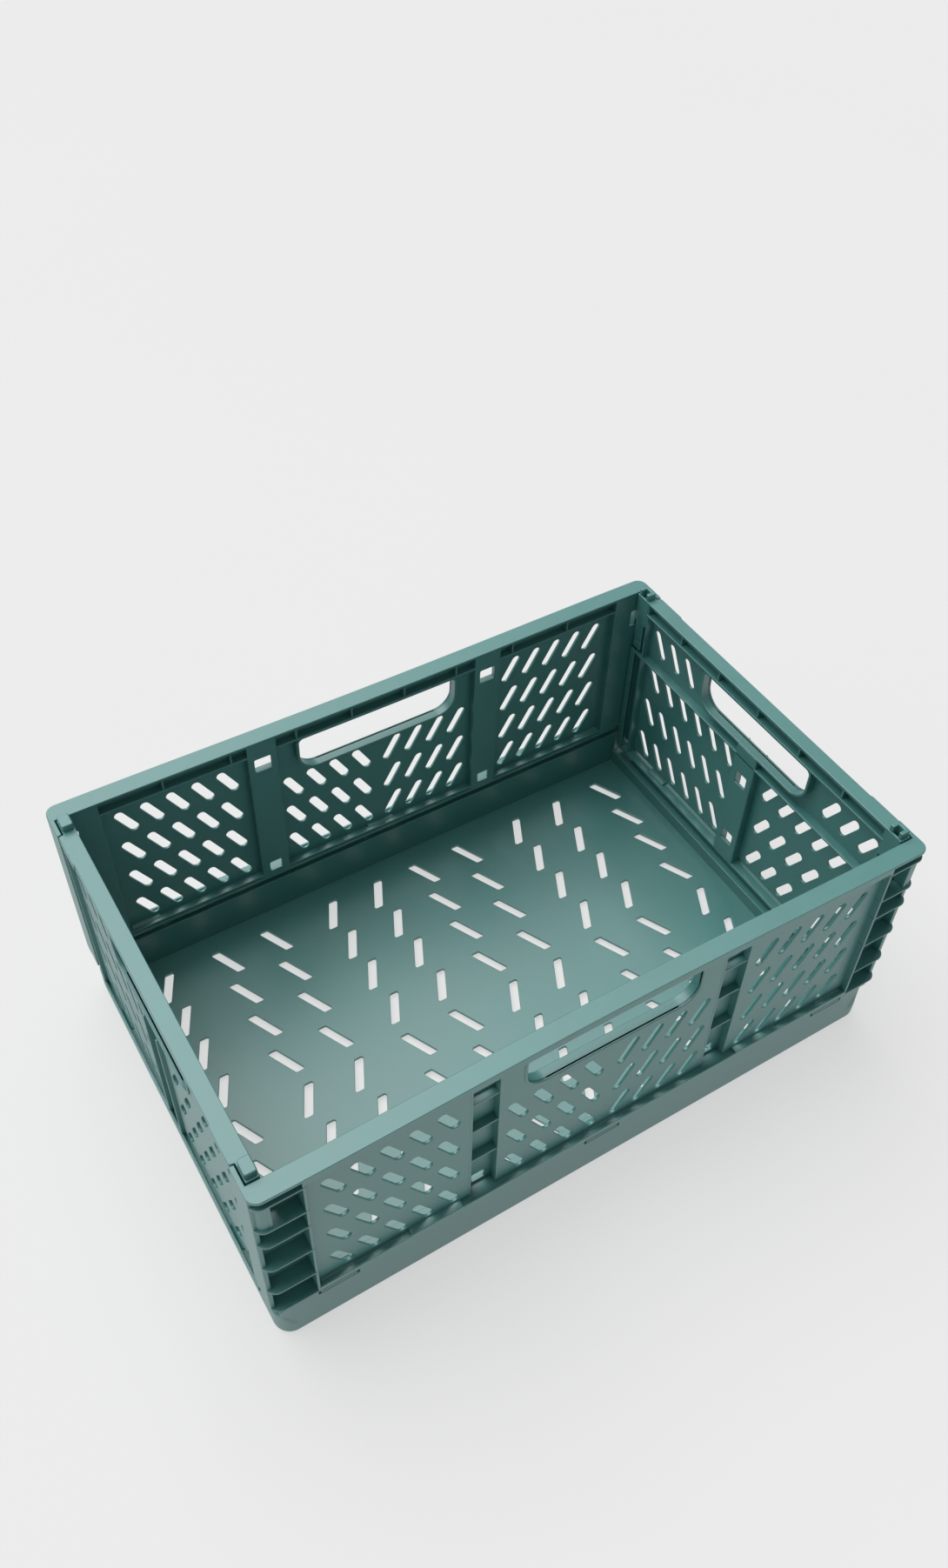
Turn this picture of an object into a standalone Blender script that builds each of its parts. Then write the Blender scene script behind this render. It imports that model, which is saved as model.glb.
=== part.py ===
"""Collapsible storage crate: a base tray, two long walls, two end walls and four spring latches.

Sizes are in millimetres and every mesh is made in metres. +Z is up, +X runs along the crate and
the front wall faces -Y. Each wall is described once, in its own frame: u along the wall, d inward
from its outer plane, z upward from the ground, and is then placed with its origin on its hinge.
"""

import math

import bmesh
import bpy
from mathutils import Matrix

MM = 0.001

# overall sizes
LENGTH = 400.0
WIDTH = 265.0
HEIGHT = 158.0

# clearances
TOUCH = 0.3
EDGE_PLAY = 0.8

# mouldings
SKIN = 1.8
WEB = 1.5
FIN = 1.3
RIM = 2.0
SKIRT_DROP = 5.5
RIM_CORNER = 6.0

# base tray
BASE_INSET = 1.9
BASE_H = 37.0
BASE_END_H = 19.5
BASE_CORNER = 10.0
LEDGE_DROP = 6.0
FLOOR_Z = 2.0
FLOOR_T = 2.0
END_BAND_D = 11.0
POST_KEEP = 5.5
FLOOR_SLOT_L = 20.0
FLOOR_SLOT_W = 6.0
FLOOR_SLOT_LEAN = 10.0
FLOOR_COLUMNS = (17.6, 51.0, 91.6, 125.0, 165.6)
FLOOR_ROWS = (15.0, 44.0, 71.0, 98.0)
FLOOR_MARGIN = 12.0
WINDOW_W = 23.0
WINDOW_H = 7.0

# long walls
LONG_D = 11.0
LONG_PIVOT_D = 6.0
LONG_RECESS = 4.2
COLUMN = 25.5
CHANNEL_IN = 68.8
CHANNEL_OUT = 84.0
CHANNEL_RIBS = (HEIGHT - 27.0, HEIGHT - 52.5, HEIGHT - 82.0)
CHANNEL_WINDOW = 10.5
CHANNEL_FOOT_WINDOW = 8.0
COLUMN_FINS = (HEIGHT - 7.5, HEIGHT - 30.5, HEIGHT - 46.0, HEIGHT - 71.5, HEIGHT - 98.0)
COLUMN_WEB = 8.0
RETURN_T = 2.7
RETURN_W = 22.5
LEDGE_Z = HEIGHT - 10.0
FOOT_BAR = 4.2
HEEL_DROP = 1.8
HEEL_OUT = 4.8
LONG_GUSSETS = (17.8, 54.0, 95.0, 136.0)
LUG_R = 4.2
LUG_W = 19.0
LUG_FROM_END = 37.0
PAD_U = (90.0, 121.0)
PAD_H = 5.0

# end walls
END_D = 10.0
END_PIVOT_D = 5.0
END_RECESS = 2.4
END_STEP = 2.5
END_LEDGE_Z = HEIGHT - 46.0
END_FLANGE = 4.7
END_CHANNEL = 7.8
END_HEEL_DROP = 1.5
END_HEEL_OUT = 4.3
END_GUSSETS = (0.0, 37.3, 74.6)
NUB_L = 9.4
NUB_H = 4.5
NUB_IN = 2.4
NUB_END = 0.9
POCKET = 5.5
POCKET_DEEP = 1.2

# hand holes
HANDLE_LOW = HEIGHT - 37.5
HANDLE_TOP = HEIGHT - 11.0
HANDLE_R = 12.0
LONG_HANDLE = 53.0
END_HANDLE = 49.0
HANDLE_LIP = 1.8

# slots
SLOT_H = 19.3
SLOT_W = 6.2
SLOT_LEAN = 7.3
SLOT_PITCH = 15.45
ROW_PITCH = 25.7
LONG_ROW_DROP = 28.0
END_ROW_DROP = 30.0
END_ROW_PITCH = 30.5
SLOT_MARGIN = 13.0

# latches
LATCH_TOP = HEIGHT - 21.0
LATCH_LOW = HEIGHT - 46.0
LATCH_W = 8.0
LATCH_T = 2.2
LATCH_IN = 1.2
LATCH_ROOT_GAP = 0.9
LATCH_FLEX_ROOM = 4.0

HALF_L = LENGTH / 2
HALF_W = WIDTH / 2
HINGE_Z = BASE_H
END_HINGE_Z = BASE_END_H
END_OUT = HALF_L - 0.5
END_HALF = HALF_W - LONG_D - EDGE_PLAY


def collection(name, parent=None, hidden=False):
    made = bpy.data.collections.new(name)
    (parent or bpy.context.scene.collection).children.link(made)
    made.hide_render = hidden
    return made


def block(bm, u, d, z):
    """A rectangular block between the (low, high) pairs u, d and z."""
    size = [abs(b - a) for a, b in (u, d, z)]
    centre = [(a + b) / 2 for a, b in (u, d, z)]
    place = Matrix.Translation(centre) @ Matrix.Diagonal((*size, 1.0))
    bmesh.ops.create_cube(bm, size=1.0, matrix=place)


def prism(bm, outline, low, high, axis):
    """A flat outline of (a, b) points carried from low to high along an axis.

    The outline lies in u, z for axis d, in d, z for axis u and in u, d for axis z.
    """
    order = {"d": lambda a, b: (a, low, b), "u": lambda a, b: (low, a, b), "z": lambda a, b: (a, b, low)}[axis]
    step = {"d": (0, high - low, 0), "u": (high - low, 0, 0), "z": (0, 0, high - low)}[axis]
    foot = bm.faces.new([bm.verts.new(order(a, b)) for a, b in outline])
    grown = bmesh.ops.extrude_face_region(bm, geom=[foot])
    top = [v for v in grown["geom"] if isinstance(v, bmesh.types.BMVert)]
    bmesh.ops.translate(bm, verts=top, vec=step)


def rounded(u, z, radii, steps=3):
    """A rectangle with a radius at each corner: low-u low-z, high-u low-z, high-u high-z, low-u high-z."""
    corners = ((u[0], z[0], 180), (u[1], z[0], 270), (u[1], z[1], 0), (u[0], z[1], 90))
    inward = ((1, 1), (-1, 1), (-1, -1), (1, -1))
    points = []
    for (cu, cz, start), (iu, iz), r in zip(corners, inward, radii):
        if r <= 0:
            points.append((cu, cz))
            continue
        for i in range(steps + 1):
            turn = math.radians(start + 90 * i / steps)
            points.append((cu + iu * r + r * math.cos(turn), cz + iz * r + r * math.sin(turn)))
    return points


def slot(u, z, lean, height=SLOT_H, width=SLOT_W):
    """A leaning slot with chamfered ends, centred on u, z; its top leans by lean along u."""
    run = (height - width) / 2
    tip = width / 2
    shift = lean / 2
    return [
        (u - shift - tip, z - run),
        (u - shift, z - run - tip),
        (u - shift + tip, z - run),
        (u + shift + tip, z + run),
        (u + shift, z + run + tip),
        (u + shift - tip, z + run),
    ]


def spread(low, high, pitch):
    """Even places, one pitch apart, centred between low and high."""
    count = int((high - low) / pitch + 1e-6) + 1
    first = (low + high - (count - 1) * pitch) / 2
    return [first + i * pitch for i in range(count)]


def steps_down(top, low, pitch):
    count = int((top - low) / pitch + 1e-6) + 1
    return [top - i * pitch for i in range(count)]


def above(foot, heights):
    """The heights that stand well clear of a wall's foot."""
    return [z for z in heights if z > foot + 12.0]


def finish(bm, origin):
    """Closes a shape: outward faces, then its origin moved to a point, in metres."""
    bmesh.ops.recalc_face_normals(bm, faces=bm.faces[:])
    bmesh.ops.translate(bm, verts=bm.verts[:], vec=[-c for c in origin])
    bmesh.ops.scale(bm, verts=bm.verts[:], vec=(MM, MM, MM))


def to_object(bm, name, home, origin, place, turn):
    finish(bm, origin)
    mesh = bpy.data.meshes.new(name)
    bm.to_mesh(mesh)
    bm.free()
    made = bpy.data.objects.new(name, mesh)
    home.objects.link(made)
    made.location = [c * MM for c in place]
    made.rotation_euler = (0.0, 0.0, turn)
    return made


def helper(made):
    made.hide_render = True
    made.display_type = "WIRE"
    return made


def boolean(target, other, operation, own=False):
    step = target.modifiers.new(operation.lower(), "BOOLEAN")
    step.operation = operation
    step.solver = "EXACT"
    step.use_self = own
    step.object = other


def plastic(name, colour):
    made = bpy.data.materials.new(name)
    made.use_nodes = True
    shader = made.node_tree.nodes["Principled BSDF"]
    shader.inputs["Base Color"].default_value = (*colour, 1.0)
    shader.inputs["Roughness"].default_value = 0.48
    shader.inputs["Metallic"].default_value = 0.0
    made.diffuse_color = (*colour, 1.0)
    return made


def both(values):
    """Each place and its mirror, with the side it is on."""
    return [(side * v, side) for v in values for side in (-1, 1)]


# long wall -----------------------------------------------------------------------------------


def long_wall_body(bm):
    """Recessed panels on a frame of flanges, with finned corner columns and a flat rim."""
    column = HALF_L - COLUMN
    foot = BASE_H + TOUCH
    top = HEIGHT - RIM / 2
    skin = (LONG_RECESS, LONG_RECESS + SKIN)
    inner = (LONG_D - SKIN, LONG_D)
    # panels and the channel skins behind them
    block(bm, (-CHANNEL_IN + 0.2, CHANNEL_IN - 0.2), skin, (foot + 0.5, top))
    for side in (-1, 1):
        block(bm, (side * (CHANNEL_OUT + 0.2), side * (column - 0.2)), skin, (foot + 0.5, top))
        block(bm, (side * (CHANNEL_IN - 0.5), side * (CHANNEL_OUT + 0.5)), inner, (foot + 0.6, top - 0.1))
        block(bm, (side * (column - 0.6), side * (HALF_L - 1.5)), inner, (foot + 0.6, top - 0.1))
    # upright flanges at each change of depth
    for edge, side in both((CHANNEL_IN - WEB / 2, CHANNEL_OUT + WEB / 2, column - WEB / 2)):
        outer = 0.0 if abs(edge) > CHANNEL_OUT + WEB else LONG_RECESS - 0.2
        block(bm, (edge - WEB / 2, edge + WEB / 2), (outer, LONG_D - 0.1), (foot + 0.2, top + 0.1))
    # ribs across the channels and fins round the corner columns
    for side in (-1, 1):
        for z in above(foot, CHANNEL_RIBS):
            rib = (side * (CHANNEL_IN - 0.8), side * (CHANNEL_OUT + 0.8))
            block(bm, rib, (LONG_RECESS + 0.3, LONG_D - 0.6), (z - FIN / 2, z + FIN / 2))
        ends = (side * (column - 0.8), side * HALF_L)
        radii = (0, RIM_CORNER, 0, 0) if side > 0 else (RIM_CORNER, 0, 0, 0)
        shelf = rounded((min(ends), max(ends)), (0.0, LONG_D - 0.6), radii)
        for z in (*above(foot, COLUMN_FINS), foot + FIN / 2):
            prism(bm, shelf, z - FIN / 2, z + FIN / 2, "z")
        # web and corner skin behind the upper pocket
        web = side * (HALF_L - COLUMN_WEB)
        band = (COLUMN_FINS[1], COLUMN_FINS[0])
        block(bm, (web - WEB / 2, web + WEB / 2), (0.6, LONG_D - 0.5), band)
        block(bm, (web, side * (HALF_L - RIM_CORNER + 1.5)), (0.5, 0.5 + WEB), band)
        # plate that returns round the end of the crate
        reach = (RIM_CORNER - 2.0, RETURN_W)
        block(bm, (side * (HALF_L - RETURN_T), side * (HALF_L - 0.05)), reach, (foot + 1.0, top))
    # rim, skirt, ledge and the gussets between them
    rim = rounded((-HALF_L, HALF_L), (0.0, LONG_D), (RIM_CORNER, RIM_CORNER, 0, 0))
    prism(bm, rim, HEIGHT - RIM, HEIGHT, "z")
    block(bm, (-column, column), (0.05, WEB), (HEIGHT - SKIRT_DROP, HEIGHT - RIM / 2))
    for side in (-1, 1):
        tab = (side * (HALF_L - RETURN_T), side * (HALF_L - 0.05))
        block(bm, tab, (LONG_D - 1.0, RETURN_W), (HEIGHT - RIM - 0.2, HEIGHT - 0.05))
    block(bm, (-column + 0.3, column - 0.3), (LONG_RECESS + 0.5, LONG_D), (LEDGE_Z - WEB / 2, LEDGE_Z + WEB / 2))
    for u, side in both(LONG_GUSSETS):
        gusset = (LONG_RECESS + 0.6, LONG_D - 0.5)
        block(bm, (u - FIN / 2, u + FIN / 2), gusset, (LEDGE_Z, HEIGHT - RIM / 2))
    # foot flange, outer foot bar, heel inside the base lip, hinge lugs and pads
    block(bm, (-column, column), (0.6, LONG_D - 0.2), (foot, foot + WEB))
    block(bm, (-column, column), (0.0, WEB), (foot, foot + FOOT_BAR))
    heel = HALF_L - BASE_INSET - BASE_CORNER - 0.1
    block(bm, (-heel, heel), (HEEL_OUT, LONG_D - 0.05), (BASE_H - HEEL_DROP, foot + 0.7))
    for u in (-(HALF_L - LUG_FROM_END), 0.0, HALF_L - LUG_FROM_END):
        turn = Matrix.Translation((u, LONG_PIVOT_D, HINGE_Z)) @ Matrix.Rotation(math.pi / 2, 4, "Y")
        bmesh.ops.create_cone(
            bm, cap_ends=True, segments=12, radius1=LUG_R, radius2=LUG_R, depth=LUG_W, matrix=turn
        )
    for side in (-1, 1):
        pad = (side * PAD_U[0], side * PAD_U[1])
        block(bm, pad, (0.1, LONG_RECESS + 0.5), (foot + 0.1, foot + PAD_H))
    # sleeve round the hand hole
    sleeve = HANDLE_LIP
    outline = rounded(
        (-LONG_HANDLE - sleeve, LONG_HANDLE + sleeve),
        (HANDLE_LOW - sleeve, HANDLE_TOP + 0.4),
        (HANDLE_R + sleeve, HANDLE_R + sleeve, 0, 0),
        4,
    )
    prism(bm, outline, LONG_RECESS - 0.4, LONG_D - 0.3, "d")


def long_wall_cuts(bm):
    """The hand hole, the leaning slots and the square windows of the channels."""
    column = HALF_L - COLUMN
    through = (-1.0, LONG_D + 1.0)
    hole = rounded((-LONG_HANDLE, LONG_HANDLE), (HANDLE_LOW, HANDLE_TOP - 0.8), (HANDLE_R, HANDLE_R, 1.5, 1.5), 4)
    prism(bm, hole, through[0], through[1], "d")
    low = BASE_H + TOUCH + FOOT_BAR + SLOT_H / 2
    rows = steps_down(HEIGHT - LONG_ROW_DROP, low, ROW_PITCH)
    panel = (LONG_RECESS - 0.9, LONG_RECESS + SKIN + 1.5)
    side_places = spread(CHANNEL_OUT + SLOT_MARGIN, column - SLOT_MARGIN - 2.0, SLOT_PITCH)
    middle_places = spread(10.5, CHANNEL_IN - SLOT_MARGIN + 1.5, SLOT_PITCH)
    for row, z in enumerate(rows):
        under_handle = z + SLOT_H / 2 < HANDLE_LOW - HANDLE_LIP
        for u, side in both(side_places + (middle_places if under_handle else [])):
            prism(bm, slot(u, z, side * SLOT_LEAN), panel[0], panel[1], "d")
    for side in (-1, 1):
        mid = side * (CHANNEL_IN + CHANNEL_OUT) / 2
        half = CHANNEL_WINDOW / 2
        skin = (LONG_D - SKIN - 1.0, LONG_D + 1.0)
        z = CHANNEL_RIBS[0] + 8.0
        block(bm, (mid - half, mid + half), skin, (z - half, z + half))
        half = CHANNEL_FOOT_WINDOW / 2
        z = BASE_H + TOUCH + 4.7
        block(bm, (mid - half, mid + half), skin, (z, z + 2 * half))
        # the latch tooth's window in the corner column
        edge = side * (HALF_L - 10.5)
        block(bm, (edge - 3.0, edge + 3.0), skin, (LATCH_LOW + 7.5, LATCH_TOP - 3.5))


# end wall ------------------------------------------------------------------------------------


def end_wall_body(bm):
    """A panel between the long walls' return plates, with two ledges and a block over each latch."""
    foot = BASE_END_H + TOUCH
    top = HEIGHT - RIM / 2
    zone = HALF_W - RETURN_W - TOUCH
    step_in = END_STEP + TOUCH
    skin = (END_RECESS, END_RECESS + SKIN)
    inner = (END_D - SKIN, END_D)
    edge = END_HALF
    flange = edge - END_FLANGE
    low = foot + 0.6
    for side in (-1, 1):
        block(bm, (side * END_CHANNEL, side * (flange + 0.5)), skin, (low, top))
        block(bm, (side * (flange + 0.4), side * edge), inner, (low, top))
        block(bm, (side * (zone - WEB), side * zone), (0.5, END_D - 0.5), (low, top))
        block(bm, (side * flange, side * (flange + WEB)), (step_in, END_D - 0.4), (low, top))
        block(bm, (side * (edge - WEB), side * edge), (step_in, END_D - 0.6), (low, LATCH_LOW - 1.0))
        block(bm, (side * END_CHANNEL, side * (END_CHANNEL + WEB)), (0.5, END_D - 0.6), (low, HANDLE_LOW - 0.5))
        # block under the rim that carries the latch
        block(bm, (side * (zone - 0.7), side * edge), (step_in, END_D), (LATCH_TOP - 0.8, top))
    block(bm, (-END_CHANNEL - 0.6, END_CHANNEL + 0.6), inner, (low, HANDLE_LOW - 0.5))
    block(bm, (-END_CHANNEL - 0.6, END_CHANNEL + 0.6), skin, (HANDLE_TOP - 2.0, top))
    # rim: widest on the two tabs, narrower between them, stepped in behind the return plates
    block(bm, (-zone, zone), (0.7, END_D - 1.0), (HEIGHT - RIM, HEIGHT))
    block(bm, (-zone + 21.0, zone - 21.0), (0.5, 2.0), (HEIGHT - SKIRT_DROP, HEIGHT - 0.4))
    for side in (-1, 1):
        tab = (side * (zone - 21.6), side * (zone - 0.4))
        block(bm, tab, (0.0, 2.0), (HEIGHT - SKIRT_DROP, HEIGHT))
    # ledges and gussets
    block(bm, (-flange - 0.5, flange + 0.5), (END_RECESS + 0.5, END_D), (LEDGE_Z - WEB / 2, LEDGE_Z + WEB / 2))
    block(bm, (-flange - 0.5, flange + 0.5), (END_RECESS + 0.5, END_D), (END_LEDGE_Z - WEB, END_LEDGE_Z))
    for u in sorted({side * g for g in END_GUSSETS for side in (-1, 1)}):
        block(bm, (u - FIN / 2, u + FIN / 2), (END_RECESS + 0.6, END_D - 0.8), (LEDGE_Z, top))
    # foot flange, outer foot bar and heel
    block(bm, (-edge, edge), (step_in + 0.6, END_D), (foot, foot + WEB))
    block(bm, (-zone, zone), (0.0, WEB), (foot, foot + FOOT_BAR))
    block(bm, (-zone, zone), (0.6, END_D - 1.0), (foot, foot + WEB))
    heel = (END_HEEL_OUT, END_D - 0.5)
    block(bm, (-edge + 0.5, edge - 0.5), heel, (BASE_END_H - END_HEEL_DROP, foot + 0.8))
    sleeve = HANDLE_LIP
    outline = rounded(
        (-END_HANDLE - sleeve, END_HANDLE + sleeve),
        (HANDLE_LOW - sleeve, HANDLE_TOP + 0.6),
        (HANDLE_R + sleeve, HANDLE_R + sleeve, 0, 0),
        4,
    )
    prism(bm, outline, END_RECESS - 0.6, END_D - 0.3, "d")
    for side in (-1, 1):
        nub = (side * (edge - NUB_END - NUB_L), side * (edge - NUB_END))
        block(bm, nub, (step_in + 0.2, END_D - NUB_IN), (HEIGHT - 1.0, HEIGHT + NUB_H))


def end_wall_cuts(bm):
    """The hand hole, the leaning slots, the windows, the latch openings and the rim pockets."""
    foot = BASE_END_H + TOUCH
    flange = END_HALF - END_FLANGE
    zone = HALF_W - RETURN_W - TOUCH
    hole = rounded((-END_HANDLE, END_HANDLE), (HANDLE_LOW, HANDLE_TOP - 0.8), (HANDLE_R, HANDLE_R, 1.5, 1.5), 4)
    prism(bm, hole, -1.0, END_D + 1.0, "d")
    panel = (END_RECESS - 0.9, END_RECESS + SKIN + 1.0)
    upper = spread(END_HANDLE + 17.0, zone - 10.0, SLOT_PITCH)
    lower = spread(END_CHANNEL + SLOT_MARGIN - 1.0, zone - 10.0, SLOT_PITCH)
    for u, side in both(upper):
        prism(bm, slot(u, HEIGHT - END_ROW_DROP, side * SLOT_LEAN), panel[0], panel[1], "d")
    first = END_LEDGE_Z - WEB - 3.0 - SLOT_H / 2
    for z in steps_down(first, foot + FOOT_BAR + 1.0 + SLOT_H / 2, END_ROW_PITCH):
        for u, side in both(lower):
            prism(bm, slot(u, z, side * SLOT_LEAN), panel[0], panel[1], "d")
    half = 4.8
    for z in (END_LEDGE_Z - 18.0, foot + 20.0):
        block(bm, (-half, half), (END_D - SKIN - 1.0, END_D + 1.0), (z - half, z + half))
    for side in (-1, 1):
        room = (side * (END_HALF - LATCH_W - LATCH_FLEX_ROOM), side * (END_HALF + 1.0))
        deep = (END_D - LATCH_IN - LATCH_T - 1.0, END_D + 1.0)
        block(bm, room, deep, (LATCH_LOW + 0.6, LATCH_TOP))
        mid = side * (END_HALF - NUB_END - NUB_L / 2)
        pocket = (END_D - NUB_IN + 0.2, END_D + 1.0)
        block(bm, (mid - POCKET / 2, mid + POCKET / 2), pocket, (HEIGHT - POCKET_DEEP, HEIGHT + 1.0))


# latch ---------------------------------------------------------------------------------------


def latch_finger(bm, side):
    """A spring finger that hangs from the block under the rim."""
    out = side * (END_HALF - TOUCH)
    root = side * (END_HALF - LATCH_W)
    deep = (END_D - LATCH_IN - LATCH_T, END_D - LATCH_IN)
    block(bm, (root, out), deep, (LATCH_LOW + 2.0, LATCH_TOP - LATCH_ROOT_GAP))


def latch_tooth(bm, side):
    """The ramped tooth on the finger, towards the long wall."""
    tip = side * (END_HALF + EDGE_PLAY - TOUCH)
    inside = side * (END_HALF - 2.0)
    outline = [
        (inside, LATCH_LOW + 8.0),
        (tip, LATCH_LOW + 11.0),
        (tip, LATCH_LOW + 17.0),
        (inside, LATCH_LOW + 20.0),
    ]
    prism(bm, outline, END_D - LATCH_IN - LATCH_T + 0.3, END_D - LATCH_IN - 0.3, "d")


# base tray -----------------------------------------------------------------------------------


def base_shell(bm):
    """The outer band: a rounded wall, drawn in a little at the bottom, tall enough for the long sides."""
    half = (HALF_L - BASE_INSET, HALF_W - BASE_INSET)
    levels = ((3.2, 0.0), (1.0, 2.2), (0.0, 5.5), (0.0, BASE_H))
    rings = []
    for inset, z in levels:
        rings.append((inset, z))
    for inset, z in reversed(levels):
        rings.append((inset + SKIN, z))
    loops = []
    for inset, z in rings:
        hu, hd = half[0] - inset, half[1] - inset
        r = max(BASE_CORNER - inset, 1.0)
        loops.append([bm.verts.new((a, b, z)) for a, b in rounded((-hu, hu), (-hd, hd), (r, r, r, r), 4)])
    for here, there in zip(loops, loops[1:] + loops[:1]):
        count = len(here)
        for i in range(count):
            j = (i + 1) % count
            bm.faces.new((here[i], here[j], there[j], there[i]))


def base_body(bm):
    """Floor, inner bands and ledges, which turn the outer band into a deep hollow edge."""
    out_l = HALF_L - BASE_INSET
    out_w = HALF_W - BASE_INSET
    ledge = BASE_H - LEDGE_DROP
    end_ledge = BASE_END_H - LEDGE_DROP
    inner_w = HALF_W - LONG_D
    inner_l = out_l - END_BAND_D
    floor = (inner_l + SKIN - 0.2, inner_w + SKIN - 0.2)
    block(bm, (-floor[0], floor[0]), (-floor[1], floor[1]), (FLOOR_Z, FLOOR_Z + FLOOR_T))
    for side in (-1, 1):
        block(bm, (-out_l + 1.3, out_l - 1.3), (side * inner_w, side * (inner_w + SKIN)), (FLOOR_Z + 0.8, ledge))
        block(bm, (-out_l + 1.2, out_l - 1.2), (side * (inner_w + 0.4), side * (out_w - 0.9)), (ledge - 1.6, ledge - 0.02))
        block(bm, (side * inner_l, side * (inner_l + SKIN)), (-inner_w - 0.9, inner_w + 0.9), (FLOOR_Z + 1.1, end_ledge))
        shelf = (side * (inner_l + 0.4), side * (out_l - 0.9))
        block(bm, shelf, (-inner_w - 0.8, inner_w + 0.8), (end_ledge - 1.6, end_ledge - 0.02))


def base_cuts(bm):
    """Opens the ends down to the lower hinge line, and cuts the hinge windows and floor slots."""
    out_l = HALF_L - BASE_INSET
    out_w = HALF_W - BASE_INSET
    inner_w = HALF_W - LONG_D
    keep = HALF_W - POST_KEEP
    for side in (-1, 1):
        end = (side * (out_l - 2.6), side * (out_l + 5.0))
        block(bm, end, (-keep, keep), (BASE_END_H, BASE_H + 5.0))
        swing = (side * (out_l - BASE_CORNER), side * (out_l + 4.5))
        block(bm, swing, (-keep, keep), (BASE_H - LEDGE_DROP + 0.4, BASE_H + 5.5))
        room = (side * (out_l - END_BAND_D - 0.5), side * (out_l + 4.0))
        block(bm, room, (-inner_w - 0.02, inner_w + 0.02), (BASE_END_H + 0.02, BASE_H + 6.0))
        for u in (-(HALF_L - LUG_FROM_END), 0.0, HALF_L - LUG_FROM_END):
            outline = rounded(
                (u - WINDOW_W / 2, u + WINDOW_W / 2), (BASE_H - WINDOW_H, BASE_H + 3.0), (3.0, 3.0, 0, 0), 2
            )
            prism(bm, outline, side * (out_w - SKIN - 0.5), side * (out_w + 1.0), "d")
    columns = [c for c in FLOOR_COLUMNS if c < out_l - END_BAND_D - FLOOR_MARGIN]
    rows = [r for r in FLOOR_ROWS if r < inner_w - FLOOR_MARGIN]
    deep = (FLOOR_Z - 1.0, FLOOR_Z + FLOOR_T + 0.8)
    for column, c in enumerate(columns):
        for r in rows:
            for su in (-1, 1):
                for sd in (-1, 1):
                    way = su * sd * (1 if column in (2, 3) else -1)
                    half = FLOOR_SLOT_L / 2
                    lean = way * FLOOR_SLOT_LEAN / 2
                    u, d = su * c, sd * r
                    wide = FLOOR_SLOT_W / 2
                    outline = [
                        (u - lean - wide, d - half),
                        (u - lean + wide, d - half),
                        (u + lean + wide, d + half),
                        (u + lean - wide, d + half),
                    ]
                    prism(bm, outline, deep[0], deep[1], "z")


def assemble(name, body, cuts, home, tools, origin, place, turn, start=None):
    """One moulding: its blocks joined into one solid, then its openings cut."""
    bm = bmesh.new()
    (start or body)(bm)
    solid = to_object(bm, name, home, origin, place, turn)
    if start:
        bm = bmesh.new()
        body(bm)
        extra = helper(to_object(bm, name + "_blocks", tools, origin, place, turn))
        boolean(solid, extra, "UNION", own=True)
        solid.modifiers[-1].name = "join"
    if cuts:
        bm = bmesh.new()
        cuts(bm)
        cutter = helper(to_object(bm, name + "_openings", tools, origin, place, turn))
        boolean(solid, cutter, "DIFFERENCE", own=True)
    return solid


for item in list(bpy.data.objects):
    bpy.data.objects.remove(item, do_unlink=True)

crate = collection("collapsible_storage_crate")
tools = collection("crate_tools", hidden=True)

teal = plastic("moulded_polypropylene", (0.105, 0.296, 0.266))
teal_base = plastic("moulded_polypropylene_base", (0.098, 0.281, 0.253))
teal_latch = plastic("moulded_polypropylene_latch", (0.11, 0.305, 0.275))

base = assemble("base_tray", base_body, base_cuts, crate, tools, (0, 0, 0), (0, 0, 0), 0.0, start=base_shell)
base.data.materials.append(teal_base)


def rim_plate(bm):
    """The long wall's flat rim, with rounded outer corners."""
    outline = rounded((-HALF_L, HALF_L), (0.0, LONG_D), (RIM_CORNER, RIM_CORNER, 0, 0))
    prism(bm, outline, HEIGHT - RIM, HEIGHT, "z")


def end_rim(bm):
    """The end wall's flat rim."""
    block(bm, (-END_HALF, END_HALF), (END_STEP + TOUCH, END_D), (HEIGHT - RIM, HEIGHT))


for name, side, turn in (("front_wall", -1, 0.0), ("back_wall", 1, math.pi)):
    hinge = (0.0, LONG_PIVOT_D, HINGE_Z)
    place = (0.0, side * (HALF_W - LONG_PIVOT_D), HINGE_Z)
    wall = assemble(name, long_wall_body, long_wall_cuts, crate, tools, hinge, place, turn, start=rim_plate)
    wall.data.materials.append(teal)

# u runs to the front on the left wall and to the back on the right one
for name, side in (("left_end_wall", -1), ("right_end_wall", 1)):
    hinge = (0.0, END_PIVOT_D, END_HINGE_Z)
    place = (side * (END_OUT - END_PIVOT_D), 0.0, END_HINGE_Z)
    turn = side * math.pi / 2
    wall = assemble(name, end_wall_body, end_wall_cuts, crate, tools, hinge, place, turn, start=end_rim)
    wall.data.materials.append(teal)
    for own in (-1, 1):
        where = ("front" if own * side < 0 else "back") + ("_left" if side < 0 else "_right")
        root = (own * (END_HALF - LATCH_W / 2), END_D - LATCH_IN - LATCH_T / 2, LATCH_TOP - LATCH_ROOT_GAP)
        place = (side * (END_OUT - root[1]), side * root[0], root[2])
        latch = assemble(
            "latch_" + where,
            lambda bm, own=own: latch_tooth(bm, own),
            None,
            crate,
            tools,
            root,
            place,
            turn,
            start=lambda bm, own=own: latch_finger(bm, own),
        )
        latch.data.materials.append(teal_latch)
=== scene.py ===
"""Collapsible storage crate, seen from above its front left corner.

Wall sizes are in millimetres in the wall's own frame: u along the wall, d inward from its outer
plane, z upward from the ground.
"""

import math

import bpy
import numpy as np
from mathutils import Matrix, Vector, geometry


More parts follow.
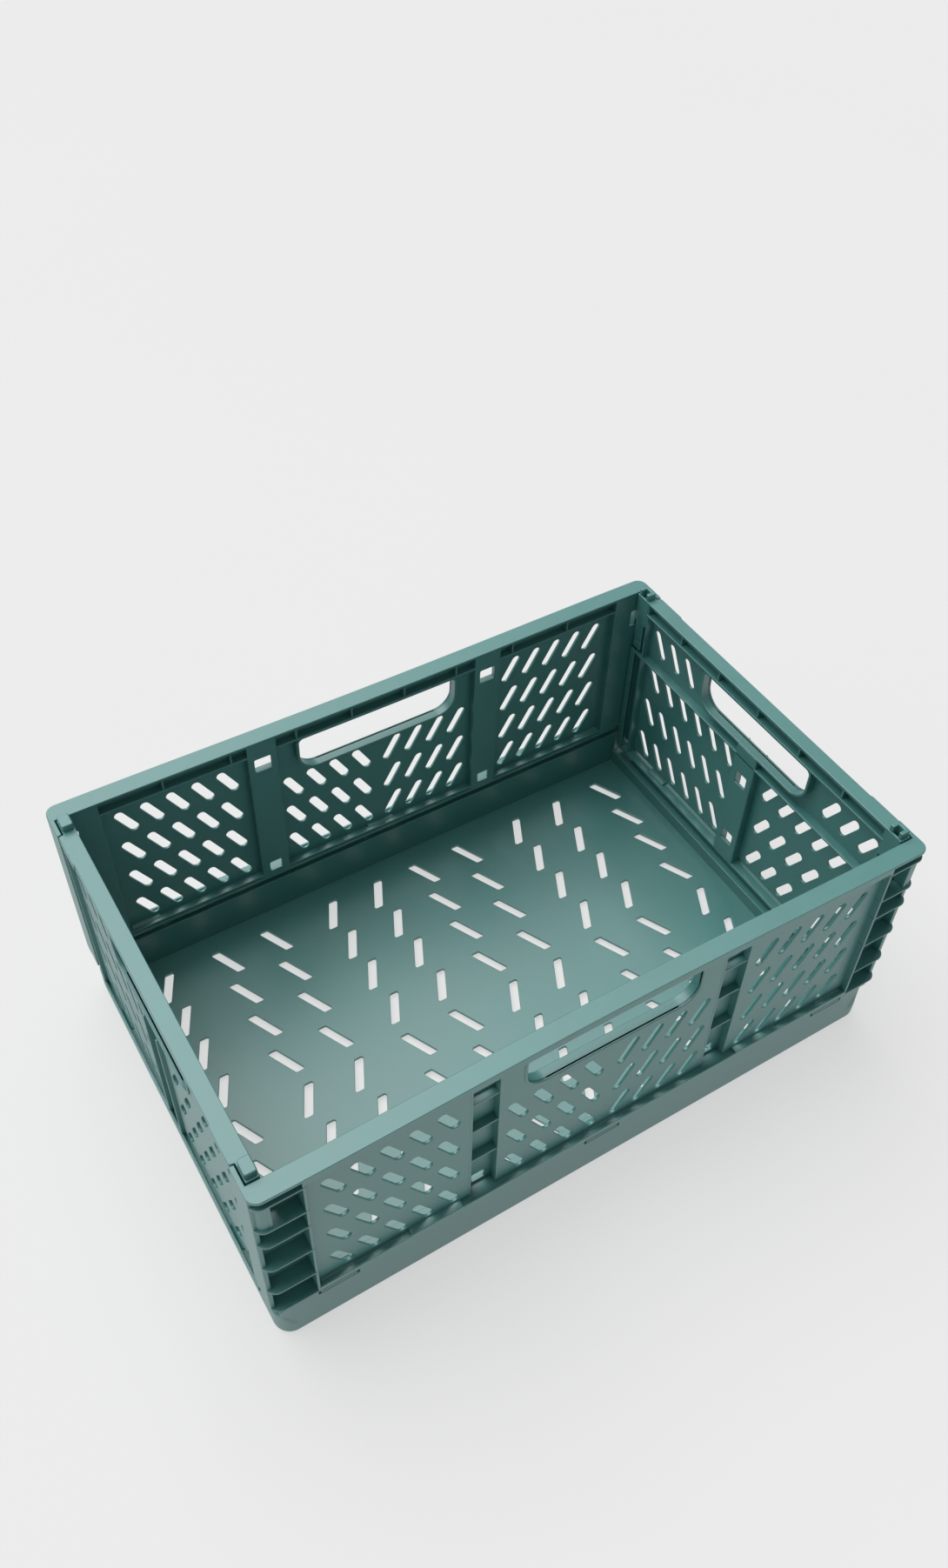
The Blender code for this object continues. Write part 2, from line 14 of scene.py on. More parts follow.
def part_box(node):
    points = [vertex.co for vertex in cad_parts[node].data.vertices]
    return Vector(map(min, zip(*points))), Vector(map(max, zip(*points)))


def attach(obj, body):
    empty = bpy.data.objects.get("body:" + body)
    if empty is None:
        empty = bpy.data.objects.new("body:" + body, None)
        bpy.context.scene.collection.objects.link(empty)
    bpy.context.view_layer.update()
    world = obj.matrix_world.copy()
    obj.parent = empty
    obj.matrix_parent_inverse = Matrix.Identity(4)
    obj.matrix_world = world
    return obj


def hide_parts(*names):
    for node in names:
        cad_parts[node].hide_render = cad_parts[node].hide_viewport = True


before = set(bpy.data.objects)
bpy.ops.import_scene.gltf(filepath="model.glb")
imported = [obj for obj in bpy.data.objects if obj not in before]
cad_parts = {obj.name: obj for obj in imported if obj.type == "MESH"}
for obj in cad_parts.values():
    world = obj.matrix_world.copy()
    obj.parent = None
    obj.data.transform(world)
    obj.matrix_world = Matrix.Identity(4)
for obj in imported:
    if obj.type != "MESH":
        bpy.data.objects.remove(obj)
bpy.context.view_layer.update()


# --- Tray: outer band -------------------------------------------------------------------------
# The tray is one deep injection moulding in satin polypropylene. Its outer band is a thin wall
# drawn in at the bottom, cut down at both ends and notched where the walls' knuckles sit.


def cornered(points, radii, steps=4, run=13.0):
    """Polygon with filleted corners, as rows of a, b and the outward direction there.

    Each corner is left along the tangent length r tan(turn / 2), then an arc of radius r carries
    the outward direction round by the turn. Corners may bend either way; the run is anticlockwise
    and its straights are cut into equal lengths no longer than run.
    """
    points = np.asarray(points, float)
    radii = np.broadcast_to(np.asarray(radii, float), len(points))[:, None]
    back = points - np.roll(points, 1, 0)
    back /= np.linalg.norm(back, axis=1, keepdims=True)
    ahead = np.roll(back, -1, 0)
    turn = np.arctan2(back[:, 0] * ahead[:, 1] - back[:, 1] * ahead[:, 0], (back * ahead).sum(1))[:, None]
    way = np.sign(turn)
    out = np.stack([back[:, 1], -back[:, 0]], 1)
    centre = points - back * radii * np.tan(abs(turn) / 2) - out * radii * way
    t = turn * np.linspace(0, 1, steps + 1)
    normal = np.stack(
        [
            out[:, :1] * np.cos(t) - out[:, 1:] * np.sin(t),
            out[:, :1] * np.sin(t) + out[:, 1:] * np.cos(t),
        ],
        2,
    )
    place = centre[:, None] + (radii * way)[:, None] * normal
    outline = np.concatenate([place, normal], 2).reshape(-1, 4)
    ahead = np.roll(outline, -1, 0)
    length = np.hypot(*(ahead - outline)[:, :2].T)
    count = np.maximum(np.ceil(length / run - 1e-6).astype(int), 1)
    which = np.repeat(np.arange(len(outline)), count)
    share = (np.arange(count.sum()) - np.repeat(np.cumsum(count) - count, count)) / count[which]
    return outline[which] + (ahead - outline)[which] * share[:, None]


def rounded(a, b, radii=1.0, steps=4):
    """Rectangle between the pairs a and b; radii run from low-a low-b, anticlockwise."""
    return cornered([(a[0], b[0]), (a[1], b[0]), (a[1], b[1]), (a[0], b[1])], radii, steps)


def opening(outline):
    """The same outline as a hole: run backwards, with its outward direction into the opening."""
    return outline[::-1] * np.array([1, 1, -1, -1.0])


def plate(outlines, low, high, edge=0.4, seeds=None, rounds=3, loose=None):
    """Closed plate with rolled edges, from low to high along c, as points, directions, edge highlight
    weights, faces.

    Round every outline a quarter circle of radius edge leaves each flat side: at angle t the wall
    stands edge (1 - sin t) inside the outline and edge (1 - cos t) below the face, and its outward
    direction turns from the face's to the outline's. The flats are the triangles between the
    innermost rings, through the extra seeds, whose middles a level line reaches over an odd count
    of outline edges. Edges listed in loose get no wall.
    """
    flat = np.vstack(outlines)
    sizes = np.array([len(o) for o in outlines])
    starts = np.repeat(np.cumsum(sizes) - sizes, sizes)
    index = np.arange(len(flat))
    after = starts + (index - starts + 1) % np.repeat(sizes, sizes)
    t = np.linspace(0, math.pi / 2, rounds + 1)
    t = np.concatenate([t, t[::-1]])
    side = np.repeat([-1.0, 1.0], rounds + 1)
    inset = edge * (1 - np.sin(t))
    height = np.where(side < 0, low, high) - side * edge * (1 - np.cos(t))
    ring = flat[None, :, :2] - inset[:, None, None] * flat[None, :, 2:]
    points = np.concatenate([ring, np.broadcast_to(height[:, None, None], (*ring.shape[:2], 1))], 2)
    lift = np.broadcast_to((side * np.cos(t))[:, None, None], (*ring.shape[:2], 1))
    normals = np.concatenate([flat[None, :, 2:] * np.sin(t)[:, None, None], lift], 2)
    # weight of the painted edge highlight: most halfway round each rolled edge, none on the flat faces or
    # side walls
    highlight_weight = np.broadcast_to(np.sin(2 * t)[:, None], ring.shape[:2])
    keep = index if loose is None else index[~loose]
    row = np.arange(2 * rounds + 1)[:, None] * len(flat)
    a, b = row + keep, row + after[keep]
    c, d = b + len(flat), a + len(flat)
    walls = np.concatenate([np.stack([a, b, c], 2), np.stack([a, c, d], 2)]).reshape(-1, 3)
    spots = points[0, :, :2]
    if seeds is not None:
        spots = np.vstack([spots, seeds])
    made = geometry.delaunay_2d_cdt(
        [Vector(s) for s in spots.tolist()], np.stack([index, after], 1).tolist(), [], 0, 1e-6, True
    )
    known = np.array([ids[0] for ids in made[3]])
    tiles = known[np.array(made[2])]
    (x1, y1), (x2, y2) = spots[index].T, spots[after].T
    slant = (x2 - x1) / np.where(y2 == y1, 1.0, y2 - y1)
    inside = []
    for block in np.array_split(tiles, len(tiles) // 1500 + 1):
        x, y = spots[block].mean(1).T[:, :, None]
        inside.append((((y1 > y) != (y2 > y)) & (x < x1 + (y - y1) * slant)).sum(1) % 2 == 1)
    tiles = tiles[np.concatenate(inside)]
    corner = spots[tiles]
    turn = np.cross(corner[:, 1] - corner[:, 0], corner[:, 2] - corner[:, 0])
    tiles = np.where(turn[:, None] > 0, tiles, tiles[:, ::-1])
    points, normals, highlight_weight = points.reshape(-1, 3), normals.reshape(-1, 3), highlight_weight.reshape(-1)
    under, over = tiles.copy(), tiles + (2 * rounds + 1) * len(flat)
    if seeds is not None:
        extra = len(seeds)
        inner = tiles >= len(flat)
        under = np.where(inner, tiles - len(flat) + len(points), tiles)
        over = np.where(inner, tiles - len(flat) + len(points) + extra, over)
        ends = np.repeat([low, high], extra)[:, None]
        points = np.vstack([points, np.hstack([np.vstack([seeds, seeds]), ends])])
        face = np.repeat([-1.0, 1.0], extra)[:, None]
        normals = np.vstack([normals, np.hstack([np.zeros((2 * extra, 2)), face])])
        highlight_weight = np.concatenate([highlight_weight, np.zeros(2 * extra)])
    return points, normals, highlight_weight, np.vstack([walls, under[:, ::-1], over])


def joined(shells):
    """Several shells as one, with their faces renumbered."""
    step = np.cumsum([0] + [len(s[0]) for s in shells[:-1]])
    faces = np.vstack([s[3] + n for s, n in zip(shells, step)])
    return *(np.concatenate([s[i] for s in shells]) for i in range(3)), faces


def tray_path(s):
    """Place, forward and outward directions at distance s round the tray, from the front left.

    Four straight sides joined by quarter circles, anticlockwise from above.
    """
    corner = TRAY_CORNER
    long_run, short_run = 2 * (TRAY_L - corner), 2 * (TRAY_W - corner)
    quarter = math.pi * corner / 2
    lengths = np.array([long_run, quarter, short_run, quarter] * 2)
    ends = np.cumsum(lengths)
    s = np.mod(s, ends[-1])
    leg = np.minimum(np.searchsorted(ends, s, side="right"), 7)
    along = s - (ends - lengths)[leg]
    start = np.array([(-1, -1), (1, -1), (1, -1), (1, 1), (1, 1), (-1, 1), (-1, 1), (-1, -1)], float)
    centre = start[leg] * [TRAY_L - corner, TRAY_W - corner]
    base = np.radians(-90.0 + 90.0 * (leg // 2))
    angle = base + np.where(leg % 2 == 1, along / corner, 0.0)
    out = np.stack([np.cos(angle), np.sin(angle)], 1)
    forward = np.stack([-out[:, 1], out[:, 0]], 1)
    straight = np.where(leg % 2 == 0, along, 0.0)[:, None]
    return centre + corner * out + forward * straight, forward, out


def round_tray(shell):
    """Bends a plate drawn in s and z round the tray, drawn in towards the ground.

    At height z under TRAY_DRAW_Z the band stands TRAY_DRAW (1 - z / TRAY_DRAW_Z) squared inside
    its line, and directions tilt by the slope of that curve.
    """
    points, normals, highlight_weight, faces = shell
    s, z, c = points.T
    place, forward, out = tray_path(s)
    rest = np.clip(1 - z / TRAY_DRAW_Z, 0, 1)
    slope = 2 * TRAY_DRAW / TRAY_DRAW_Z * rest
    long = np.sqrt(1 + slope**2)[:, None]
    plane = np.hstack([out, -slope[:, None]]) / long
    up = np.hstack([out * slope[:, None], np.ones((len(s), 1))]) / long
    flat = np.hstack([place - out * (TRAY_DRAW * rest**2)[:, None], z[:, None]])
    level = np.hstack([forward, 0 * s[:, None]])
    turned = normals[:, :1] * level + normals[:, 1:2] * up + normals[:, 2:] * plane
    return flat + plane * c[:, None], turned, highlight_weight, faces


class Wire:
    """One socket of a material. Plain arithmetic on it adds Math nodes."""

    def __init__(self, tree, socket=None):
        self.tree = tree
        self.socket = socket

    def make(self, kind, settings=(), inputs=(), out=0):
        """A node of any kind: its settings first, then the values or links of its sockets."""
        node = self.tree.nodes.new(kind)
        for name, value in dict(settings).items():
            if name == "stops":
                for stop, (where, level) in zip(node.color_ramp.elements, value):
                    stop.position = where
                    stop.color = (level, level, level, 1)
            else:
                setattr(node, name, value)
        for name, value in dict(inputs).items():
            if isinstance(value, Wire):
                self.tree.links.new(value.socket, node.inputs[name])
            else:
                node.inputs[name].default_value = value
        return Wire(self.tree, node.outputs[out])

    def maths(self, operation, a, b):
        """The result of one Math node."""
        return self.make("ShaderNodeMath", {"operation": operation}, {0: a, 1: b})

    def __add__(self, other):
        return self.maths("ADD", self, other)

    def __sub__(self, other):
        return self.maths("SUBTRACT", self, other)

    def __rsub__(self, other):
        return self.maths("SUBTRACT", other, self)

    def __mul__(self, other):
        return self.maths("MULTIPLY", self, other)

    __radd__ = __add__
    __rmul__ = __mul__

    def noise(self, scale, detail=2.0, rough=0.5):
        """Cloudy value about a half, with scale in cycles a metre, read at this vector."""
        sockets = {"Vector": self, "Scale": scale, "Detail": detail, "Roughness": rough}
        return self.make("ShaderNodeTexNoise", (), sockets)

    def ramp(self, low, high):
        """Nought below low, one above high."""
        return self.make("ShaderNodeValToRGB", {"stops": ((low, 0), (high, 1))}, {"Fac": self})

    def tint(self, colour, other):
        """Colour moved towards the other by this value."""
        sockets = {0: self, 6: colour, 7: other}
        return self.make("ShaderNodeMix", {"data_type": "RGBA"}, sockets, 2)


def shade(colour, k):
    """A linear colour made lighter or darker."""
    return (*(min(c * k, 1.0) for c in colour), 1.0)


def moulded(name, colour, roughness=0.44, flow=(1.0, 1.0, 0.25)):
    """Satin moulded polypropylene.

    Pigment drifts by a few per cent in clouds and along the way the melt flowed, rolled edges get
    a painted highlight that turns them paler and are made shinier, fine scuffs dull the face, and
    a spark-eroded grain and a faint ripple stand under the gloss.
    """
    made = bpy.data.materials.new(name)
    made.use_nodes = True
    tree = made.node_tree
    shader = tree.nodes["Principled BSDF"]
    place = Wire(tree).make("ShaderNodeTexCoord", (), (), "Object")
    streak = Wire(tree).make("ShaderNodeMapping", (), {"Vector": place, "Scale": flow})
    cloud = place.noise(17.0, 3.0)
    drift = streak.noise(70.0, 4.0, 0.6)
    # weight of the painted edge highlight, stored on the mesh's rolled edges
    highlight_mask = Wire(tree).make("ShaderNodeAttribute", {"attribute_name": "edge_highlight"}, (), "Fac")
    painted_highlight = highlight_mask * place.noise(160.0, 3.0).ramp(0.3, 0.75)
    scuff = place.noise(900.0, 5.0, 0.7).ramp(0.58, 0.78) * place.noise(40.0, 2.0).ramp(0.45, 0.75)
    pigment = cloud.ramp(0.3, 0.7).tint(shade(colour, 0.93), shade(colour, 1.06))
    pigment = (drift.ramp(0.35, 0.7) * 0.5).tint(pigment, shade(colour, 1.10))
    pale = tuple(0.72 * c + 0.28 * (0.25 + 0.6 * c) for c in colour)
    # painted highlight: rolled edges lightened towards the pale colour, broken up by noise, standing for
    # light caught on the edges
    pigment = (painted_highlight * 0.55).tint(pigment, (*pale, 1.0))
    pigment = (scuff * 0.22).tint(pigment, (*pale, 1.0))
    tree.links.new(pigment.socket, shader.inputs["Base Color"])
    gloss = roughness - 0.05 + cloud * 0.06 + drift * 0.05 + scuff * 0.12 - painted_highlight * 0.09
    tree.links.new(gloss.socket, shader.inputs["Roughness"])
    grain = place.noise(2600.0, 2.0, 0.6) * 0.55 + place.noise(420.0, 2.0) * 0.35 + drift * 0.5
    bump = grain.make("ShaderNodeBump", (), {"Strength": 0.35, "Distance": 0.00006, "Height": grain})
    tree.links.new(bump.socket, shader.inputs["Normal"])
    shader.inputs["Specular IOR Level"].default_value = 0.95
    shader.inputs["IOR"].default_value = 1.55
    return made


def piece(name, shells, place, finish, body, node):
    """Puts shells into one mesh in the crate's frame, in metres, and hands it to the frame."""
    points, normals, highlight_weight, faces = joined(shells)
    points, normals = place(points, normals)
    normals = normals / np.linalg.norm(normals, axis=1, keepdims=True)
    mesh = bpy.data.meshes.new(name)
    mesh.vertices.add(len(points))
    mesh.vertices.foreach_set("co", (points * 0.001).astype(np.float32).ravel())
    mesh.loops.add(faces.size)
    mesh.loops.foreach_set("vertex_index", faces.astype(np.int32).ravel())
    mesh.polygons.add(len(faces))
    mesh.polygons.foreach_set("loop_start", np.arange(0, faces.size, 3, dtype=np.int32))
    mesh.update(calc_edges=True)
    mesh.validate()
    # the weight of the painted edge highlight, read by the material
    highlight_layer = mesh.attributes.new("edge_highlight", "FLOAT", "POINT")
    highlight_layer.data.foreach_set("value", highlight_weight.astype(np.float32))
    mesh.normals_split_custom_set_from_vertices(normals.tolist())
    mesh.materials.append(finish)
    made = bpy.data.objects.new(name, mesh)
    bpy.context.scene.collection.objects.link(made)
    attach(made, body)
    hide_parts(node)
    return made


def as_drawn(points, normals):
    """The crate's own frame, as the tray is drawn."""
    return points, normals


TRAY_HIGH = Vector(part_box("base_tray")[1]) * 1000
TRAY_L = TRAY_HIGH.x
TRAY_W = TRAY_HIGH.y
TRAY_TOP = TRAY_HIGH.z
TRAY_END_TOP = 19.5
TRAY_CORNER = 10.0
TRAY_SKIN = 1.8
TRAY_DRAW = 0.8
TRAY_DRAW_Z = 3.0
TRAY_ROWS = (0.7, 1.2, 1.8, 2.4, 3.0, 11.0)
STOP_Z = (34.9, 35.9)
POST_Y = 127.0
LUGS = (-163.0, 0.0, 163.0)
LUG_WINDOW = (23.4, 7.6)
STOP_U = (91.5, 121.5)
END_LUGS = (-78.0, 0.0, 78.0)
END_WINDOW = (20.0, 5.6)

tray_plastic = moulded("satin_polypropylene_tray", (0.055, 0.212, 0.200), 0.40, (0.3, 0.3, 1.6))


def tray_band():
    """The band as a plate in s and z, its meeting ends left open, bent round the tray."""
    long_run, short_run = 2 * (TRAY_L - TRAY_CORNER), 2 * (TRAY_W - TRAY_CORNER)
    quarter = math.pi * TRAY_CORNER / 2
    total = 2 * (long_run + short_run + 2 * quarter)
    post = TRAY_CORNER * (math.pi / 2 - math.asin((POST_Y - TRAY_W + TRAY_CORNER) / TRAY_CORNER))
    line = []
    for start in (0.0, total / 2):
        for u in LUGS:
            a, b = start + long_run / 2 + u + np.array([-0.5, 0.5]) * LUG_WINDOW[0]
            low = TRAY_TOP - LUG_WINDOW[1]
            line += [(a, TRAY_TOP, 0.8), (a, low, 0.6), (b, low, 0.6), (b, TRAY_TOP, 0.8)]
        line += [(start + long_run + post, TRAY_TOP, 2.2), (start + long_run + post, TRAY_END_TOP, 1.6)]
        for u in END_LUGS:
            a, b = start + long_run + quarter + short_run / 2 + u + np.array([-0.5, 0.5]) * END_WINDOW[0]
            low = TRAY_END_TOP - END_WINDOW[1]
            line += [(a, TRAY_END_TOP, 0.8), (a, low, 2.0), (b, low, 2.0), (b, TRAY_END_TOP, 0.8)]
        step = start + total / 2 - post
        line += [(step, TRAY_END_TOP, 1.6), (step, TRAY_TOP, 2.2)]
    outer = [(-40, TRAY_TOP, 1), (-40, -40, 1), (total + 40, -40, 1), (total + 40, TRAY_TOP, 1)]
    corners = np.array(outer + line[::-1])
    ring = cornered(corners[:, :2], corners[:, 2], 4, 1.4)
    top = ring[(ring[:, 0] > 0.4) & (ring[:, 0] < total - 0.4) & (ring[:, 1] > 1)]
    fine = np.linspace(0, total, int(total / 1.4))
    foot = np.stack([fine, 0 * fine, 0 * fine, 0 * fine - 1], 1)
    outline = np.vstack([foot, [total, TRAY_TOP, 0, 1], top, [0, TRAY_TOP, 0, 1]])
    loose = np.zeros(len(outline), bool)
    loose[[len(foot) - 1, -1]] = True
    seeds = np.stack(np.meshgrid(fine, TRAY_ROWS), 2).reshape(-1, 2)
    slits = []
    for start in (0.0, total / 2):
        for side in (-1, 1):
            ends = sorted(start + long_run / 2 + side * u for u in STOP_U)
            slits.append(opening(rounded(ends, STOP_Z, 0.35, 3)))
    loose = np.concatenate([loose, np.zeros(sum(len(o) for o in slits), bool)])
    return round_tray(plate([outline, *slits], -TRAY_SKIN, 0.0, 0.45, seeds, loose=loose))


band = [tray_band()]
piece("tray_outer_band", band, as_drawn, tray_plastic, "base", "base_tray")


# --- Tray: floor and inner bands --------------------------------------------------------------
# The floor is a flat sheet of the same moulding, pierced by rows of leaning drain slots, with a
# low inner band on each side whose ledge carries the foot of a folded or standing wall.

FLOOR = (2.0, 4.0)
FLOOR_COLUMNS = (17.6, 51.0, 91.6, 125.0, 165.6)
FLOOR_ROWS = (15.0, 44.0, 71.0, 98.0)
FLOOR_SLOT = (20.0, 6.0, 10.0)
INNER_W = 121.5
INNER_L = 187.1


def floor_slots():
    """One leaning four-sided slot, rounded at its corners, at every crossing of the floor's grid."""
    half, wide, lean = FLOOR_SLOT[0] / 2, FLOOR_SLOT[1] / 2, FLOOR_SLOT[2] / 2
    made = []
    for way in (-1, 1):
        k = lean * way
        drawn = [(-k - wide, -half), (-k + wide, -half), (k + wide, half), (k - wide, half)]
        made.append(opening(cornered(drawn, 1.1, 3)))
    holes = []
    for i, c in enumerate(FLOOR_COLUMNS):
        for r in FLOOR_ROWS:
            for su in (-1, 1):
                for sd in (-1, 1):
                    way = su * sd * (1 if i in (2, 3) else -1)
                    holes.append(made[(way + 1) // 2] + [su * c, sd * r, 0, 0])
    return holes


def shelf(outlines, z, edge=0.4, **more):
    """A level plate drawn in u and d, between the heights z."""
    return plate(outlines, z[0], z[1], edge, **more)


def skin(outlines, d, edge=0.4, **more):
    """An upright plate drawn in u and z, between the depths d."""
    points, normals, highlight_weight, faces = plate(outlines, -d[1], -d[0], edge, **more)
    turn = np.array([[1, 0, 0], [0, 0, 1], [0, -1, 0]])
    return points @ turn, normals @ turn, highlight_weight, faces


def fin(outlines, u, edge=0.4, **more):
    """An upright plate across the wall, drawn in d and z, between the places u."""
    points, normals, highlight_weight, faces = plate(outlines, u[0], u[1], edge, **more)
    return points[:, [2, 0, 1]], normals[:, [2, 0, 1]], highlight_weight, faces


def mirrored(shell):
    """The same shell on the other side of u = 0."""
    points, normals, highlight_weight, faces = shell
    flip = np.array([-1, 1, 1])
    return points * flip, normals * flip, highlight_weight, faces[:, ::-1]


def both(*shells):
    """Each shell and its mirror."""
    return [made for shell in shells for made in (shell, mirrored(shell))]


def moved(shell, u=0.0, d=0.0, z=0.0):
    """The same shell somewhere else on its wall."""
    return shell[0] + [u, d, z], *shell[1:]


def turned_round(shell):
    """The same shell turned half a circle about the upright axis."""
    flip = np.array([-1, -1, 1])
    return shell[0] * flip, shell[1] * flip, *shell[2:]


floor = [
    shelf(
        [rounded((-INNER_L - 1.2, INNER_L + 1.2), (-INNER_W - 1.2, INNER_W + 1.2), 2.0), *floor_slots()],
        FLOOR,
        0.35,
    ),
]
long_band = skin(
    [rounded((-INNER_L - 1.5, INNER_L + 1.5), (2.3, 31.0), 1.0)], (-INNER_W - 1.8, -INNER_W), 0.45
)
long_ledge = shelf([rounded((-196.4, 196.4), (-TRAY_W + 0.9, -INNER_W - 0.5), 1.0)], (29.3, 30.9), 0.35)
end_band = fin(
    [rounded((-INNER_W - 1.0, INNER_W + 1.0), (2.4, 13.5), 1.0)], (-INNER_L - 1.8, -INNER_L), 0.45
)
end_ledge = shelf(
    [rounded((-TRAY_L + 0.9, -INNER_L - 0.5), (-INNER_W - 0.8, INNER_W + 0.8), 1.0)], (11.8, 13.4), 0.35
)
ribs = [
    fin([rounded((-TRAY_W + 0.8, -INNER_W - 0.6), (2.6, 30.2), 0.8)], (u - 0.7, u + 0.7), 0.3)
    for u in LUGS
]
inside = [long_band, long_ledge, end_band, end_ledge, *ribs]
floor += inside + [turned_round(s) for s in inside]
piece("tray_floor_and_inner_bands", floor, as_drawn, tray_plastic, "base", "base_tray")


# --- Long walls: slotted panels ---------------------------------------------------------------
# Each long wall is one satin polypropylene moulding. Its panels are thin, pierced by rows of
# leaning slots, and stand four millimetres behind the rim, the foot and the corner columns.

LONG_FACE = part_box("front_wall")[0].y * 1000
WALL_TOP = 158.0
COLUMN_U = 174.5
CHANNEL = (68.8, 84.0)
PANEL_FOOT = 38.6
CHANNEL_TOP = 147.2
PANEL_D = (4.2, 6.0)
SLOT = (19.3, 6.2, 7.3)
SLOT_ROWS = (130.0, 104.3, 78.6, 52.9)
SIDE_SLOTS = 97.35 + 15.45 * np.arange(5)
MIDDLE_SLOTS = 10.7 + 15.45 * np.arange(4)
GRIP = ((-53.0, 53.0), (120.5, 146.2))
GRIP_R = (12.0, 12.0, 3.0, 3.0)
FRONT_BOW = 2.2
BACK_BOW = 1.6
BOW_REACH = 185.0
BOW_RISE = (37.0, 121.0)

wall_plastic = moulded("satin_polypropylene_wall", (0.057, 0.220, 0.208), 0.41)


def slot_shape(lean, size=SLOT, steps=7):
    """A leaning slot with half-round ends: a straight axis, widened by half the slot's width."""
    run = (size[0] - size[1]) / 2
    tilt = math.atan2(lean / 2, run)
    r = size[1] / 2 * math.cos(tilt)
    t = np.linspace(0, math.pi, steps + 1)
    top = np.stack([np.cos(t), np.sin(t)], 1)
    normal = np.vstack([top, -top])
    turn = np.array([[math.cos(tilt), -math.sin(tilt)], [math.sin(tilt), math.cos(tilt)]])
    normal = normal @ turn
    axis = np.repeat([[lean / 2, run], [-lean / 2, -run]], steps + 1, 0)
    return opening(np.hstack([axis + r * normal, normal]))


def slots(places, rows):
    """A slot at every place and row on both halves of a wall, leaning outward at the top."""
    made = []
    for side in (-1, 1):
        shape = slot_shape(side * SLOT[2])
        made += [shape + [side * u, z, 0, 0] for u in places for z in rows]
    return made


def bowed(points, amount):
    """Wall leaning in at mid-length: amount by (1 - (u / reach) squared) squared and by height."""
    reach = np.clip(1 - (points[:, 0] / BOW_REACH) ** 2, 0, 1) ** 2
    rise = np.clip((points[:, 2] - BOW_RISE[0]) / BOW_RISE[1], 0, 1) ** 1.5
    made = points.copy()
    made[:, 1] += amount * reach * rise
    return made


def on_front(points, normals):
    """From the wall's frame to the front: u to the right, d to the back."""
    return bowed(points, FRONT_BOW) + [0, LONG_FACE, 0], normals


def on_back(points, normals):
    """The front wall turned half a circle about the upright axis."""
    return (bowed(points, BACK_BOW) + [0, LONG_FACE, 0]) * [-1, -1, 1], normals * [-1, -1, 1]


def long_wall(part, shells):
    """The same part of both long walls."""
    piece("front_wall_" + part, shells, on_front, wall_plastic, "front_wall", "front_wall")
    piece("back_wall_" + part, shells, on_back, wall_plastic, "back_wall", "back_wall")


edge_u = COLUMN_U - 0.3
comb_line = [
    (CHANNEL[1] + 0.1, PANEL_FOOT), (edge_u, PANEL_FOOT), (edge_u, WALL_TOP - 1.2),
    (-edge_u, WALL_TOP - 1.2), (-edge_u, PANEL_FOOT), (-CHANNEL[1] - 0.1, PANEL_FOOT),
    (-CHANNEL[1] - 0.1, CHANNEL_TOP), (-CHANNEL[0] + 0.1, CHANNEL_TOP), (-CHANNEL[0] + 0.1, PANEL_FOOT),
    (CHANNEL[0] - 0.1, PANEL_FOOT), (CHANNEL[0] - 0.1, CHANNEL_TOP), (CHANNEL[1] + 0.1, CHANNEL_TOP),
]
long_holes = [*slots(SIDE_SLOTS, SLOT_ROWS), *slots(MIDDLE_SLOTS, SLOT_ROWS[1:])]
grip_hole = opening(rounded(*GRIP, GRIP_R, 8))
comb = cornered(comb_line, [0.8] * 12, 3)
long_wall("panels", [skin([comb, *long_holes, grip_hole], PANEL_D, 0.45)])


# --- Long walls: rim, ledge and foot ----------------------------------------------------------
# The rim is a flat flange all along the top with round outer corners. A ledge below it and short
# gussets make a stiff groove, open to the inside; a second flange and a bar close the foot.

RIM_T = 2.0
LONG_D = 11.0
HALF_L = 200.0
RIM_CORNER = 6.0
GUSSETS = (17.8, 54.0, 95.0, 136.0)
FOOT_Z = 37.3

rim_line = rounded((-HALF_L, HALF_L), (0.0, LONG_D), (RIM_CORNER, RIM_CORNER, 0.7, 0.7), 8)
rim = shelf([rim_line], (WALL_TOP - RIM_T, WALL_TOP), 0.5)
rim_lip = skin([rounded((-COLUMN_U, COLUMN_U), (152.5, 157.0), 0.6)], (0.06, 1.6), 0.35)
ledge = shelf(
    [rounded((-COLUMN_U + 0.4, COLUMN_U - 0.4), (4.6, LONG_D - 0.05), 0.8)],
    (CHANNEL_TOP - 0.1, CHANNEL_TOP + 1.4),
    0.4,
)
return_tab = shelf([rounded((HALF_L - 2.65, HALF_L - 0.06), (8.0, 22.5), 0.7)], (155.6, 157.94), 0.4)
gussets = [fin([rounded((4.6, 10.4), (148.0, 157.0), 0.5)], (u - 0.65, u + 0.65), 0.3) for u in GUSSETS]
foot_flange = shelf([rounded((-COLUMN_U, COLUMN_U), (0.6, 10.8), 0.6)], (FOOT_Z + 1.4, FOOT_Z + 2.8), 0.35)
foot_bar = skin([rounded((-COLUMN_U - 0.2, COLUMN_U + 0.2), (FOOT_Z, 41.3), 0.5)], (0.04, 1.5), 0.4)
heel = skin([rounded((-187.8, 187.8), (35.25, FOOT_Z + 0.7), 0.6)], (4.8, 10.92), 0.4)
long_wall("rim_and_foot", [rim, rim_lip, ledge, foot_flange, heel, foot_bar, *both(return_tab, *gussets)])


# --- Long walls: ladder channels and hand hole ------------------------------------------------
# Between the panels two upright channels drop back to the inner face, with cross ribs and small
# square windows. The hand hole is a smooth sleeve right through the wall, open under the ledge.

CHANNEL_RIBS = (131.0, 105.5, 76.0)
INNER_D = (9.2, 11.0)
MID = sum(CHANNEL) / 2

